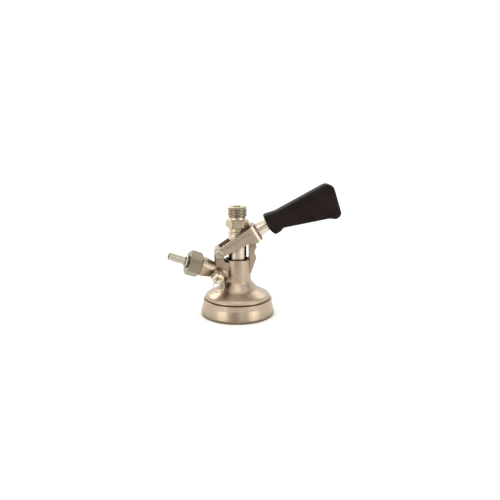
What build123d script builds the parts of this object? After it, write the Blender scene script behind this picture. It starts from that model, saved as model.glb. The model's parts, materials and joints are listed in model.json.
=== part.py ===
from build123d import *
import os
from math import cos, radians, sin, sqrt, tan

# Keg coupler. A bell locks on the keg's neck with three bayonet lugs. A forked lever on a pivot
# ear pushes the beer probe down through the neck, and a sprung plunger in the lever, pulled back
# by the grip, latches it in the opposite ear. Gas enters at the side, past a relief valve.
#
# Millimetres. The origin is the centre of the bell's mouth, +Z is up along the probe and the
# lever points to +X. Everything is drawn at rest: lever raised, grip pulled out, valves closed.

# ---------------------------------------------------------------- clearances
RUN = 0.06        # radial clearance of a turning or sliding fit
PASS = 0.3        # space between pieces that pass each other
PRESS = 0.02      # radial room of a pin or spigot that is driven or screwed home

# ---------------------------------------------------------------- bell and neck
rim_r = 43.8          # outside of the bell at its rim
band_top_r = 41.2     # outside of the band below the crease
band_h = 19.8         # height of the band, from the rim to the crease
crease_depth = 1.3    # how far the crease is cut in
shoulder_in = 1.6     # step in from the band to the shoulder above the crease
shoulder_rise = 1.8
cone_in = 6.4         # from there to where the shoulder runs into the cone
cone_rise = 5.3
sweep_in = 8.6        # from there to where the cone starts to sweep up
sweep_rise = 4.9
foot_rise = 8.4       # from there to the foot of the neck, with its small bead
neck_foot_r = 16.2
neck_taper = 0.6
neck_len = 27.5
bead_h = 1.5
bead_out = 0.7
neck_round = 1.4      # rounding of the neck's upper edge

bell_wall = 2.7       # wall of the bell at the top of its band
mouth_h = 3.0         # plain mouth below the lugs
mouth_relief = 0.5    # the mouth is this much wider than the cavity above it
roof_drop = 0.8       # the roof's underside lies this far below the band's top
cavity_slope = 3.0    # chamfer between the cavity's wall and roof
lug_count = 3
lug_reach = 4.4       # how far a lug stands in from the wall
lug_h = 4.6
lug_width_deg = 46
seal_seat_r = 19.6    # counterbore for the keg seal
seal_seat_h = 1.5
seal_h = 4.9
seal_lip = 6.2        # how far the seal reaches in from its seat
neck_wall = 3.2       # round the gas chamber
wiper_wall = 2.4      # round the open pocket above the probe guide
wiper_h = 5.0
guide_len = 13.5      # probe guide, from the gas chamber to the neck's top

# ---------------------------------------------------------------- probe
tube_r = 10.7
nose_gap = 1.0        # the nose stands this far above the roof's underside
tube_over_pivot = 22.0
tip_r = 7.6           # nose that opens the keg's valve
tip_h = 6.5
beer_inlet_r = 4.3
ball_seat_rise = 7.0  # conical seat above the nose's end
ball_chamber_r = 6.6
cage_h = 6.0
cage_bore_r = 4.6
beer_bore_r = 6.0
ball_r = 5.0
ball_gap = 0.15       # the ball rests this far off its seat
ball_lift = 3.2
tip_seal_h = 2.4
tip_seal_out = 1.0

oring_wire_r = 1.3    # O-rings in the neck, round the probe
oring_drops = (10.3, 6.7)

# ---------------------------------------------------------------- beer outlet
outlet_neck_in = 1.3
outlet_neck_len = 7.3
hex_af = 24.0
hex_h = 9.2
relief_neck_r = 9.7
relief_neck_len = 3.5
thread_r = 11.455     # G 5/8 male thread, major radius
thread_len = 12.0
outlet_spigot_r = 8.0
outlet_spigot_len = 9.0

# ---------------------------------------------------------------- pivot, ears, latch
pivot_out = 6.4           # pivot outside the neck's top
pivot_rise = 8.3          # and above it
pivot_pin_r = 3.0
pin_head_out = 2.0
pin_head_t = 1.5
pin_groove_r = 2.4
clip_out = 1.9
clip_t = 0.85
pivot_ear_r = 5.5         # round top of the pivot ear
pivot_ear_foot = 9.8      # ear's foot above the neck's foot
ear_edge = 0.8            # rounding round the latch ear's sides
latch_ear_half = 7.5
latch_ear_gap = 2.8       # between the probe and the ear's inner face
latch_ear_t = 8.6
latch_ear_over = 12.3     # ear's top above the pivot
latch_ear_foot = 10.8
notch_depth = 2.1         # scoop across the face, at the pivot's height
notch_half_h = 4.9
socket_depth = 1.5        # blind hole for the plunger, below the scoop

# ---------------------------------------------------------------- lever
lever_raise = 31.5        # degrees above level at rest; level is latched
arm_gap = 1.1             # between the probe and each arm
arm_t = 3.2
arm_end_r = 5.0
arm_wide = 17.4           # height of an arm where it meets the yoke
arm_edge = 0.9            # rounding along the sides of the arms
yoke_gap = 1.7            # from the pulled plunger's tip to the yoke
yoke_t = 5.8
yoke_tall = 15.7
yoke_corner_r = 7.0
drive_pin_r = 3.0
drive_pin_past = 0.86     # drive pins past the probe's axis, lever level
drive_pin_gap = 0.5       # from the groove's floor to each pin
drive_pin_hole = 2.3      # depth of its blind hole in the arm
groove_depth = 2.2        # annular groove of the probe that the drive pins ride in
groove_play = 0.35

stem_r = 6.5
stem_len = 51.4
spigot_r = 5.0            # stem's spigot through the yoke
plunger_r = 3.5
plunger_gap = 1.0         # from the latch ear to the pulled plunger's tip, lever level
plunger_head_len = 8.0
head_room = 8.0           # plunger's head to the end of its bore
spring_bore_r = 4.8
spring_bore_in = 9.4
plug_len = 8.0
latch_travel = 4.0
cross_pin_r = 1.5
cross_pin_cover = 1.7     # grip left over the cross pin's end
latch_spring_wire = 0.9
latch_spring_turns = 7

# ---------------------------------------------------------------- grip
grip_gap = 12.0           # yoke to the near face of the grip
grip_len = 91.5
grip_half_t = 11.2        # half its thickness
grip_edge_r = 5.0
grip_bore_room = 1.5      # left beyond the stem when the grip is home

# ---------------------------------------------------------------- gas inlet
gas_over_foot = 4.5       # height over the neck's foot where its axis meets the probe's
gas_yaw = 12.0            # degrees toward -Y from -X
gas_rise = 21.0           # degrees above level
gas_root_r = 8.8          # stub, thin near the body and wide at the nut
gas_root_s = 31.0         # distance along the axis, from the probe's
gas_wide_r = 11.45
gas_flare_len = 12.5
gas_land = 5.7
gas_thread_len = 7.8
gas_thread_in = 1.55
gas_bore_r = 5.0
gas_bore_s = 19.5
gas_port_r = 3.2
washer_t = 1.4
flange_t = 2.6
gas_nut_wall = 3.1        # over the thread, across the flats
gas_nut_lip_t = 3.3
gas_nut_lip_r = 6.6
tail_collar_r = 7.2
tail_collar_len = 3.1
hose_tail_r = 4.45
hose_tail_len = 20.1
hose_bore_r = 3.0
check_lip_len = 7.0

# ---------------------------------------------------------------- relief valve
relief_s = 27.7           # where its axis crosses the gas inlet's
relief_dip = 20.0         # degrees below level
boss_r = 7.75
boss_len = 15.0
boss_bore_r = 5.2
relief_seat_len = 9.5
relief_port_r = 2.4
cap_r = 6.75
cap_len = 5.0
cap_spigot_len = 3.0
cap_wall = 1.6
relief_rod_r = 2.15
relief_disc_r = 4.1
relief_disc_t = 1.2
relief_seal_t = 1.7
eye_len = 3.2             # eye's hole beyond the cap's face
eye_end = 2.4
eye_hole_r = 1.15
ring_r = 6.4              # pull ring, to the middle of its wire
ring_wire_r = 0.6
relief_spring_wire = 0.6
relief_spring_turns = 4

# ---------------------------------------------------------------- places that follow
shoulder_r = band_top_r - shoulder_in
shoulder_z = band_h + shoulder_rise
cone_r = shoulder_r - cone_in
cone_z = shoulder_z + cone_rise
cone_top_r = cone_r - sweep_in
cone_top_z = cone_z + sweep_rise
neck_foot_z = cone_top_z + foot_rise
neck_top_r = neck_foot_r - neck_taper
neck_top_z = neck_foot_z + neck_len

mouth_r = band_top_r - bell_wall
ceiling_z = band_h - roof_drop
seal_bore_r = seal_seat_r - seal_lip
chamber_r = neck_foot_r - neck_wall
chamber_top_z = neck_top_z - guide_len
wiper_r = neck_top_r - wiper_wall
oring_zs = [neck_top_z - drop for drop in oring_drops]

pivot_x = -(neck_top_r + pivot_out)
pivot_z = neck_top_z + pivot_rise
arm_in = tube_r + arm_gap
arm_out = arm_in + arm_t
pivot_ear_half = arm_in - PASS
pivot_ear_foot_z = neck_foot_z + pivot_ear_foot
latch_ear_in_x = tube_r + latch_ear_gap
latch_ear_out_x = latch_ear_in_x + latch_ear_t
latch_ear_top_z = pivot_z + latch_ear_over
latch_ear_foot_z = neck_foot_z + latch_ear_foot

drive_pin_u = drive_pin_past - pivot_x
groove_floor_r = tube_r - groove_depth
drive_pin_in = groove_floor_r + drive_pin_gap
plunger_tip_u = latch_ear_out_x - pivot_x + plunger_gap
yoke_in_u = plunger_tip_u + yoke_gap
yoke_out_u = yoke_in_u + yoke_t
stem_end_u = yoke_out_u + stem_len
spring_bore_u = yoke_out_u + spring_bore_in
plunger_head_r = spring_bore_r - 0.2
plunger_head_u = spring_bore_u + head_room
cross_pin_u = plunger_head_u + plunger_head_len / 2
cross_pin_half = grip_half_t - cross_pin_cover
grip_u = yoke_out_u + grip_gap
grip_bore_end_u = stem_end_u + latch_travel + grip_bore_room

tube_bottom_z = ceiling_z + nose_gap
tube_top_z = pivot_z + tube_over_pivot
ball_seat_z = tube_bottom_z + ball_seat_rise
ball_rest_z = ball_seat_z - beer_inlet_r + (ball_r + ball_gap) * sqrt(2)
cage_z = ball_rest_z + ball_r + ball_lift + PASS
outlet_neck_r = tube_r - outlet_neck_in
hex_z = tube_top_z + outlet_neck_len
thread_z = hex_z + hex_h + relief_neck_len

gas_z = neck_foot_z + gas_over_foot
gas_wide_s = gas_root_s + gas_flare_len
gas_face_s = gas_wide_s + gas_land
gas_spigot_s = gas_face_s + gas_thread_len
gas_spigot_r = gas_wide_r - gas_thread_in
gas_nut_af = 2 * (gas_spigot_r + gas_nut_wall)
gas_shoulder_s = gas_spigot_s + washer_t + flange_t
gas_nut_end_s = gas_shoulder_s + gas_nut_lip_t
tail_collar_s = gas_nut_end_s + tail_collar_len

# ---------------------------------------------------------------- frames of the tilted groups
lever_dir = Vector(cos(radians(lever_raise)), 0, sin(radians(lever_raise)))
LEVER = Plane(origin=(pivot_x, 0, pivot_z), x_dir=lever_dir, z_dir=(0, -1, 0)).location

gas_dir = Vector(
    -cos(radians(gas_rise)) * cos(radians(gas_yaw)),
    -cos(radians(gas_rise)) * sin(radians(gas_yaw)),
    sin(radians(gas_rise)),
)
gas_flat_dir = Vector(0, 0, 1) - gas_dir * gas_dir.Z
GAS = Plane(origin=(0, 0, gas_z), x_dir=gas_flat_dir, z_dir=gas_dir).location

side_dir = Vector(0, 0, 1).cross(gas_dir).normalized()
relief_level = side_dir if side_dir.Y < 0 else side_dir * -1
upright = gas_dir.cross(relief_level).normalized()
if upright.Z > 0:
    upright = upright * -1
relief_turn = radians(relief_dip)
relief_dir = (relief_level * cos(relief_turn) + upright * sin(relief_turn)).normalized()
relief_origin = Vector(0, 0, gas_z) + gas_dir * relief_s
eye_dir = relief_dir.cross(Vector(0, 0, 1)).normalized()
RELIEF = Plane(origin=relief_origin, x_dir=eye_dir, z_dir=relief_dir).location


# ---------------------------------------------------------------- helpers
def turned(points, radius=0):
    """Solid turned about Z from (r, z) corners; radius rounds each corner in the same order."""
    outline = Polyline(*points, close=True)
    if radius:
        outline = FilletPolyline(*points, radius=radius, close=True)
    return revolve(Plane.XZ * make_face(outline), Axis.Z)


def rod(r, start, end):
    """Cylinder about Z between two heights."""
    return Pos(0, 0, (start + end) / 2) * Cylinder(r, end - start)


def rod_y(r, start, end):
    """Cylinder about Y between two places."""
    return Pos(0, (start + end) / 2, 0) * Rot(90, 0, 0) * Cylinder(r, end - start)


def along_lever(solid):
    """Turns a solid about Z into one about the lever's axis, in the lever's frame."""
    return Rot(0, 90, 0) * solid


def ring_about_z(inside_r, outside_r, start, end):
    return rod(outside_r, start, end) - rod(inside_r, start - 1, end + 1)


def hex_bar(across_flats, start, end, chamfer_deg=30):
    """Hexagon about Z, its corners turned down at both ends like a nut's."""
    corner_r = across_flats / sqrt(3)
    drop = (corner_r - across_flats / 2) * tan(radians(chamfer_deg)) * 1.6
    bar = Pos(0, 0, start) * extrude(RegularPolygon(corner_r, 6), end - start)
    crown = turned([
        (0, start), (corner_r - drop / tan(radians(chamfer_deg)) * 0.62, start),
        (corner_r + 0.01, start + drop), (corner_r + 0.01, end - drop),
        (corner_r - drop / tan(radians(chamfer_deg)) * 0.62, end), (0, end),
    ])
    return bar & crown


def square_wire_spring(mean_r, wire, start, end, turns):
    """Die spring of square wire about Z between two heights."""
    length = end - start - wire
    path = Helix(length / turns, length, mean_r, center=(0, 0, start + wire / 2))
    section = Plane(origin=path @ 0, z_dir=path % 0) * Rectangle(wire, wire)
    return sweep(section, path, is_frenet=True)


# ---------------------------------------------------------------- body
def bell_outline():
    """Half section of the bell and neck, as (r, z) corners and the rounding of each."""
    half_bead = bead_h / 2
    return [
        (0, 0, 0),
        (rim_r - 0.4, 0, 1.4),
        (rim_r, mouth_h, 4.0),
        (band_top_r + 0.3, 0.7 * band_h, 6.0),
        (band_top_r - 0.2, band_h, 1.0),
        (shoulder_r - crease_depth, band_h + 0.2, 0.25),
        (shoulder_r, shoulder_z, 0.8),
        ((shoulder_r + cone_r) / 2 + 1.0, (shoulder_z + cone_z) / 2 + 0.9, 5.0),
        (cone_top_r, cone_top_z, 14.0),
        (neck_foot_r + 1.0, neck_foot_z, 0.8),
        (neck_foot_r + bead_out, neck_foot_z + half_bead, 0.4),
        (neck_foot_r, neck_foot_z + bead_h, 0.6),
        (neck_top_r, neck_top_z, neck_round),
        (0, neck_top_z, 0),
    ]


def bell_and_neck():
    corners = bell_outline()
    outline = FilletPolyline(
        *[(r, z) for r, z, _ in corners], radius=[rounding for _, _, rounding in corners], close=True
    )
    return revolve(Plane.XZ * make_face(outline), Axis.Z)


def body_bore():
    """Everything that is cut out round the probe's axis, from the mouth up."""
    seal_top = ceiling_z + seal_seat_h
    guide_r = tube_r + RUN
    return turned([
        (0, -1), (mouth_r + mouth_relief, -1), (mouth_r + mouth_relief, mouth_h),
        (mouth_r, mouth_h), (mouth_r, ceiling_z - cavity_slope),
        (mouth_r - cavity_slope, ceiling_z), (seal_seat_r, ceiling_z), (seal_seat_r, seal_top),
        (chamber_r, seal_top), (chamber_r, chamber_top_z), (guide_r, chamber_top_z + 2),
        (guide_r, neck_top_z - wiper_h), (wiper_r, neck_top_z - wiper_h + 1.2),
        (wiper_r, neck_top_z + 1), (0, neck_top_z + 1),
    ])


def oring_groove(z):
    height = 2 * oring_wire_r + 0.5
    outer = tube_r + RUN + 2 * oring_wire_r + 0.1
    return ring_about_z(tube_r - 1, outer, z - height / 2, z + height / 2)


def bayonet_lugs():
    """Inward lugs that turn under the keg neck's flange, chamfered below to lead in."""
    inner = mouth_r - lug_reach
    low = mouth_h + PASS
    section = make_face(Polyline(
        (inner, low + 1.2), (inner + 1.4, low), (mouth_r + 1, low),
        (mouth_r + 1, low + lug_h), (inner, low + lug_h), close=True,
    ))
    lug = revolve(Plane.XZ * section, Axis.Z, revolution_arc=lug_width_deg)
    first = 90 - lug_width_deg / 2
    lugs = [Rot(0, 0, first + 360 * i / lug_count) * lug for i in range(lug_count)]
    return lugs[0] + lugs[1:]


def pivot_ear():
    """Ear between the lever's arms, round over the pivot and blended into the neck below."""
    out_x = pivot_x - pivot_ear_r
    in_x = pivot_x + pivot_ear_r - 0.2
    outline = FilletPolyline(
        (out_x, pivot_z + pivot_ear_r), (out_x, neck_top_z - 0.28 * neck_len),
        (-neck_foot_r, pivot_ear_foot_z), (-tube_r, pivot_ear_foot_z), (-tube_r, neck_top_z - 3),
        (in_x, neck_top_z - 1), (in_x, pivot_z + pivot_ear_r),
        radius=[pivot_ear_r - 0.05, 6, 2, 0, 0, 1.5, pivot_ear_r - 0.25], close=True,
    )
    slab = extrude(Plane.XZ * make_face(outline), pivot_ear_half, both=True)
    plan = RectangleRounded(2 * pivot_ear_half + 9, 2 * pivot_ear_half, 3.0)
    return slab & Pos(out_x + pivot_ear_half + 4.5, 0, 0) * extrude(plan, 100)


def latch_ear():
    """Ear with a scooped face and a socket, where the plunger holds the lever down."""
    outline = FilletPolyline(
        (latch_ear_in_x, latch_ear_top_z), (latch_ear_in_x, neck_top_z - 0.5),
        (tube_r + 0.8, neck_top_z - 4), (tube_r + 0.8, latch_ear_foot_z),
        (neck_foot_r - 0.3, latch_ear_foot_z),
        (latch_ear_out_x, neck_top_z + 1.5), (latch_ear_out_x, latch_ear_top_z - 4),
        (latch_ear_out_x - 1.6, latch_ear_top_z),
        radius=[2.2, 1.0, 0, 0, 0, 3.0, 3.0, 1.6], close=True,
    )
    slab = extrude(Plane.XZ * make_face(outline), latch_ear_half, both=True)
    scoop_r = (notch_half_h ** 2 + notch_depth ** 2) / (2 * notch_depth)
    scoop_x = latch_ear_out_x - notch_depth + scoop_r
    scoop = Pos(scoop_x, 0, pivot_z) * rod_y(scoop_r, -latch_ear_half - 1, latch_ear_half + 1)
    ear = slab - scoop
    sides = ear.faces().sort_by(Axis.Y)
    return fillet(sides[0].edges() + sides[-1].edges(), ear_edge)


def latch_socket():
    floor_x = latch_ear_out_x - notch_depth - socket_depth
    reach = latch_ear_out_x + 1 - floor_x
    return Pos(floor_x + reach / 2, 0, pivot_z) * Rot(0, 90, 0) * Cylinder(plunger_r + 0.2, reach)


def gas_stub():
    return GAS * turned([
        (0, 8), (gas_root_r, 8), (gas_root_r, gas_root_s), (gas_wide_r, gas_wide_s),
        (gas_wide_r, gas_face_s), (gas_spigot_r, gas_face_s), (gas_spigot_r, gas_spigot_s),
        (0, gas_spigot_s),
    ], [0, 0, 12, 4, 0.6, 0, 0.6, 0])


def gas_passage():
    port = rod(gas_port_r, 9, gas_bore_s + 1)
    return GAS * (port + rod(gas_bore_r, gas_bore_s, gas_spigot_s + 1))


def relief_boss():
    return RELIEF * turned([
        (0, 0), (boss_r, 0), (boss_r, boss_len), (0, boss_len),
    ], [0, 0, 0.8, 0])


def relief_passage():
    port = rod(relief_port_r, 0, relief_seat_len + 1)
    return RELIEF * (port + rod(boss_bore_r, relief_seat_len, boss_len + 1))


def build_body():
    body = bell_and_neck() + pivot_ear() + latch_ear() + gas_stub() + relief_boss()
    body -= body_bore()
    for z in oring_zs:
        body -= oring_groove(z)
    body += bayonet_lugs()
    body -= latch_socket()
    body -= gas_passage()
    body -= relief_passage()
    body -= Pos(pivot_x, 0, pivot_z) * rod_y(pivot_pin_r + PRESS, -arm_out, arm_out)
    return body


def build_keg_seal():
    top = ceiling_z + seal_seat_h
    return turned([
        (seal_bore_r + 1.4, top - seal_h), (seal_seat_r - 1.0, top - seal_h),
        (seal_seat_r - 0.1, ceiling_z), (seal_seat_r - 0.1, top), (seal_bore_r, top),
        (seal_bore_r, ceiling_z - 1.5),
    ])


def build_neck_oring(z):
    return Pos(0, 0, z) * Torus(tube_r + RUN + oring_wire_r, oring_wire_r)


# ---------------------------------------------------------------- probe
def build_probe():
    """Beer tube with its nose, the drive groove and a stepped bore with the ball's seat."""
    groove_z = pivot_z + drive_pin_u * sin(radians(lever_raise))
    groove_half = drive_pin_r + groove_play
    nose_z = tube_bottom_z + tip_h
    outer = turned([
        (0, tube_bottom_z), (tip_r, tube_bottom_z), (tip_r, nose_z - 1.5), (tube_r, nose_z + 1.6),
        (tube_r, groove_z - groove_half), (groove_floor_r, groove_z - groove_half),
        (groove_floor_r, groove_z + groove_half), (tube_r, groove_z + groove_half),
        (tube_r, tube_top_z), (0, tube_top_z),
    ], [0, 0, 0, 1.2, 0.4, 0.8, 0.8, 0.4, 0.8, 0])
    seat_rise = ball_chamber_r - beer_inlet_r
    bore = turned([
        (0, tube_bottom_z - 1), (beer_inlet_r, tube_bottom_z - 1), (beer_inlet_r, ball_seat_z),
        (ball_chamber_r, ball_seat_z + seat_rise), (ball_chamber_r, cage_z + cage_h),
        (beer_bore_r, cage_z + cage_h), (beer_bore_r, tube_top_z - outlet_spigot_len),
        (outlet_spigot_r + PRESS, tube_top_z - outlet_spigot_len),
        (outlet_spigot_r + PRESS, tube_top_z + 1), (0, tube_top_z + 1),
    ])
    seal_groove = ring_about_z(
        tip_r - 1.0, tip_r + 3, tube_bottom_z + 1.2, tube_bottom_z + 1.2 + tip_seal_h
    )
    return outer - bore - seal_groove


def build_tip_seal():
    """Rubber ring round the nose that seals the beer side of the keg's valve."""
    low = tube_bottom_z + 1.2
    high = low + tip_seal_h
    inner = tip_r - 1.0
    outer = tip_r + tip_seal_out
    return turned([(inner, low), (outer - 0.8, low), (outer, low + 0.9), (outer, high), (inner, high)])


def build_ball_cage():
    """Ring with three fingers below it that stop the ball and let the beer round it."""
    ring = ring_about_z(cage_bore_r, ball_chamber_r - PRESS, cage_z + 2.5, cage_z + cage_h)
    finger = Pos(cage_bore_r, 0, cage_z + 2.5) * Box(3.4, 1.8, 5.0)
    fingers = [Rot(0, 0, 120 * i) * finger for i in range(3)]
    return (ring + fingers) & rod(ball_chamber_r - PRESS, cage_z, cage_z + cage_h)


def build_check_ball():
    """Ball resting just off its conical seat."""
    return Pos(0, 0, ball_rest_z) * Sphere(ball_r)


def build_beer_outlet():
    """Outlet screwed into the tube: neck, hexagon for the spanner and the threaded end."""
    top = thread_z + thread_len
    low = tube_top_z - outlet_spigot_len
    core = turned([
        (beer_bore_r, low), (outlet_spigot_r, low), (outlet_spigot_r, tube_top_z),
        (tube_r - 0.3, tube_top_z), (tube_r - 0.3, tube_top_z + 2.2), (outlet_neck_r, tube_top_z + 2.8),
        (outlet_neck_r, hex_z - 0.8), (outlet_neck_r + 1.2, hex_z), (outlet_neck_r + 1.2, hex_z + hex_h),
        (relief_neck_r, hex_z + hex_h + 0.8), (relief_neck_r, thread_z - 0.6),
        (thread_r - 0.9, thread_z), (thread_r, thread_z + 0.9), (thread_r, top - 1.0),
        (thread_r - 1.0, top), (beer_bore_r + 0.8, top), (beer_bore_r, top - 0.8),
    ])
    hexagon = hex_bar(hex_af, hex_z, hex_z + hex_h) - rod(beer_bore_r, hex_z - 1, hex_z + hex_h + 1)
    return core + hexagon


# ---------------------------------------------------------------- lever
def build_fork():
    """Two tapered arms joined by a yoke, in the lever's frame: X along it, Z across."""
    plan = FilletPolyline(
        (-arm_end_r, arm_out), (yoke_out_u, arm_out), (yoke_out_u, -arm_out), (-arm_end_r, -arm_out),
        (-arm_end_r, -arm_in), (yoke_in_u, -arm_in), (yoke_in_u, arm_in), (-arm_end_r, arm_in),
        radius=[0, yoke_corner_r, yoke_corner_r, 0, 0, 2.0, 2.0, 0], close=True,
    )
    arm_end_u = yoke_in_u - 1.5
    arm_foot = Pos(arm_end_u - 0.5, 0) * Rectangle(1, arm_wide)
    arm_profile = make_hull(Circle(arm_end_r).edges() + arm_foot.edges())
    yoke_len = yoke_out_u - arm_end_u + 1
    yoke_profile = Pos(yoke_out_u - yoke_len / 2, 0) * Rectangle(yoke_len, yoke_tall)
    profile = extrude(arm_profile, arm_out, both=True) + extrude(yoke_profile, arm_out, both=True)
    fork = extrude(Plane.XZ * make_face(plan), arm_wide, both=True) & profile
    sides = fork.faces().sort_by(Axis.Z)
    fork = fillet(sides[0].edges() + sides[-1].edges(), arm_edge)
    fork -= Cylinder(pivot_pin_r + RUN, 3 * arm_out)
    fork -= along_lever(rod(spigot_r + PRESS, yoke_in_u - 2, yoke_out_u + 1))
    fork -= Pos(drive_pin_u, 0, 0) * Cylinder(drive_pin_r + PRESS, 2 * (arm_in + drive_pin_hole))
    return LEVER * fork


def build_drive_pins():
    """Short pins that stand in from the arms and push the probe by its groove."""
    end = arm_in + drive_pin_hole - 0.1
    pins = [Pos(drive_pin_u, 0, 0) * rod(drive_pin_r, drive_pin_in, end)]
    pins.append(Pos(drive_pin_u, 0, 0) * rod(drive_pin_r, -end, -drive_pin_in))
    return LEVER * Compound(children=pins)


def build_pivot_pin():
    """Headed pin through the fork and ear, grooved at the far end for its clip."""
    groove = -arm_out - 0.25
    tail = groove - clip_t - 0.2
    head = arm_out + 0.2
    head_r = pivot_pin_r + pin_head_out
    pin = turned([
        (0, tail - 0.2), (pivot_pin_r, tail - 0.2), (pivot_pin_r, tail), (pin_groove_r, tail),
        (pin_groove_r, groove), (pivot_pin_r, groove), (pivot_pin_r, head), (head_r, head),
        (head_r, head + pin_head_t / 2), (head_r - 0.7, head + pin_head_t), (0, head + pin_head_t),
    ])
    return Pos(pivot_x, 0, pivot_z) * Rot(90, 0, 0) * pin


def build_pivot_clip():
    """E-clip in the pin's groove: an open ring."""
    near = -arm_out - 0.35
    clip_r = pivot_pin_r + clip_out
    ring = ring_about_z(pin_groove_r + PRESS, clip_r, near - clip_t, near)
    opening = Pos(clip_r, 0, near) * Box(2 * clip_r, 1.4 * pin_groove_r, 4 * clip_t)
    return Pos(pivot_x, 0, pivot_z) * Rot(90, 0, 0) * (ring - opening)


def build_stem():
    """Hollow stem from the yoke into the grip, slotted for the cross pin."""
    tube = turned([
        (plunger_r + RUN, yoke_in_u + 0.2), (spigot_r, yoke_in_u + 0.2), (spigot_r, yoke_out_u),
        (stem_r, yoke_out_u), (stem_r, stem_end_u), (spring_bore_r, stem_end_u),
        (spring_bore_r, spring_bore_u), (plunger_r + RUN, spring_bore_u),
    ], [0, 0, 0, 0.5, 0.6, 0, 0, 0])
    slot = SlotCenterToCenter(latch_travel, 2 * (cross_pin_r + PASS))
    cutter = Pos(cross_pin_u - latch_travel / 2, 0, 0) * extrude(slot, 2 * stem_r, both=True)
    return LEVER * (along_lever(tube) - cutter)


def build_plunger():
    """Latch bolt with a conical nose and a head that the cross pin passes through."""
    head_end = plunger_head_u + plunger_head_len
    bolt = turned([
        (0, plunger_tip_u), (plunger_r - 1.2, plunger_tip_u), (plunger_r, plunger_tip_u + 1.8),
        (plunger_r, plunger_head_u), (plunger_head_r, plunger_head_u), (plunger_head_r, head_end),
        (0, head_end),
    ], [0, 0.5, 0.5, 0, 0.4, 0.4, 0])
    hole = Pos(cross_pin_u, 0, 0) * Cylinder(cross_pin_r + PRESS, 4 * plunger_head_r)
    return LEVER * (along_lever(bolt) - hole)


def build_latch_spring():
    start = plunger_head_u + plunger_head_len
    mean_r = spring_bore_r - PASS - latch_spring_wire
    coil = square_wire_spring(mean_r, latch_spring_wire, start, stem_end_u - plug_len, latch_spring_turns)
    return LEVER * along_lever(coil)


def build_stem_plug():
    """Plug that closes the stem behind the spring, with a socket for its key."""
    plug = rod(spring_bore_r - PRESS, stem_end_u - plug_len, stem_end_u)
    key = Pos(0, 0, stem_end_u - plug_len / 2) * extrude(RegularPolygon(0.6 * spring_bore_r, 6), plug_len)
    return LEVER * along_lever(plug - key)


def build_cross_pin():
    return LEVER * Pos(cross_pin_u, 0, 0) * Cylinder(cross_pin_r, 2 * cross_pin_half)


# ---------------------------------------------------------------- grip
def grip_outline():
    """Side view of the grip in the lever's frame, corners and roundings, from the near top."""
    corners = [
        (2.6, 9.8, 2.5),
        (0, -3.0, 14.0),
        (0.9, -12.0, 8.0),
        (3.4, -17.0, 3.0),
        (10.4, -16.9, 5.0),
        (14.9, -15.1, 6.0),
        (66.9, -35.0, 14.0),
        (73.2, -39.9, 5.0),
        (81.4, -39.8, 6.5),
        (91.5, 2.0, 9.0),
        (17.4, 6.0, 30.0),
    ]
    size = grip_len / 91.5
    return [(grip_u + size * u, size * v, size * rounding) for u, v, rounding in corners]


def build_grip():
    corners = grip_outline()
    outline = FilletPolyline(
        *[(u, v) for u, v, _ in corners], radius=[rounding for _, _, rounding in corners], close=True
    )
    block = extrude(make_face(outline), grip_half_t, both=True)
    block = fillet(block.faces().sort_by(Axis.Z)[0].edges() + block.faces().sort_by(Axis.Z)[-1].edges(),
                   grip_edge_r)
    block -= along_lever(rod(stem_r + RUN, grip_u - 1, grip_bore_end_u))
    hole_end = cross_pin_half + 0.1
    block -= Pos(cross_pin_u, 0, (hole_end - grip_half_t - 1) / 2) * Cylinder(
        cross_pin_r + PRESS, hole_end + grip_half_t + 1
    )
    return LEVER * block


# ---------------------------------------------------------------- gas inlet
def build_gas_washer():
    return GAS * ring_about_z(gas_bore_r + 0.6, gas_spigot_r - 0.4, gas_spigot_s, gas_spigot_s + washer_t)


def build_gas_tail():
    """Hose tail with the flange that the nut clamps and a smooth bore."""
    low = gas_spigot_s + washer_t
    shoulder = gas_shoulder_s
    end = tail_collar_s + hose_tail_len
    tail = turned([
        (hose_bore_r, low), (gas_spigot_r - 0.4, low), (gas_spigot_r - 0.4, shoulder),
        (gas_nut_lip_r - PASS, shoulder), (gas_nut_lip_r - PASS, gas_nut_end_s + 0.4),
        (tail_collar_r, gas_nut_end_s + 0.4), (tail_collar_r, tail_collar_s - 0.6),
        (tail_collar_r - 0.6, tail_collar_s), (hose_tail_r, tail_collar_s), (hose_tail_r, end),
        (hose_bore_r, end),
    ], [0, 0.3, 0.3, 0, 0, 0, 0, 0, 0, 0.5, 0.3])
    return GAS * tail


def build_gas_nut():
    """Union nut over the stub's thread, with a lip that pulls the tail's flange home."""
    start = gas_face_s + PASS
    nut = hex_bar(gas_nut_af, start, gas_nut_end_s)
    nut -= rod(gas_spigot_r + PRESS, start - 1, gas_shoulder_s)
    nut -= rod(gas_nut_lip_r, gas_shoulder_s - 1, gas_nut_end_s + 1)
    return GAS * nut


def build_check_valve():
    """Rubber duckbill in the stub that lets gas in and keeps beer out of the line."""
    end = gas_spigot_s - 0.4
    start = end - check_lip_len
    cup = turned([
        (1.2, start), (1.9, start), (gas_bore_r - 1.2, end - 2.5), (gas_bore_r - PRESS, end - 2.5),
        (gas_bore_r - PRESS, end), (gas_bore_r - 2.2, end), (gas_bore_r - 2.2, end - 2),
    ])
    return GAS * cup


# ---------------------------------------------------------------- relief valve
def build_relief_cap():
    top = boss_len + cap_len
    low = boss_len - cap_spigot_len
    cavity_r = relief_disc_r + PASS
    return RELIEF * turned([
        (cavity_r, low), (boss_bore_r - PRESS, low), (boss_bore_r - PRESS, boss_len),
        (cap_r, boss_len), (cap_r, top), (relief_rod_r + RUN, top), (relief_rod_r + RUN, top - cap_wall),
        (cavity_r, top - cap_wall),
    ], [0, 0, 0, 0.3, 0.9, 0, 0, 0])


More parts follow.
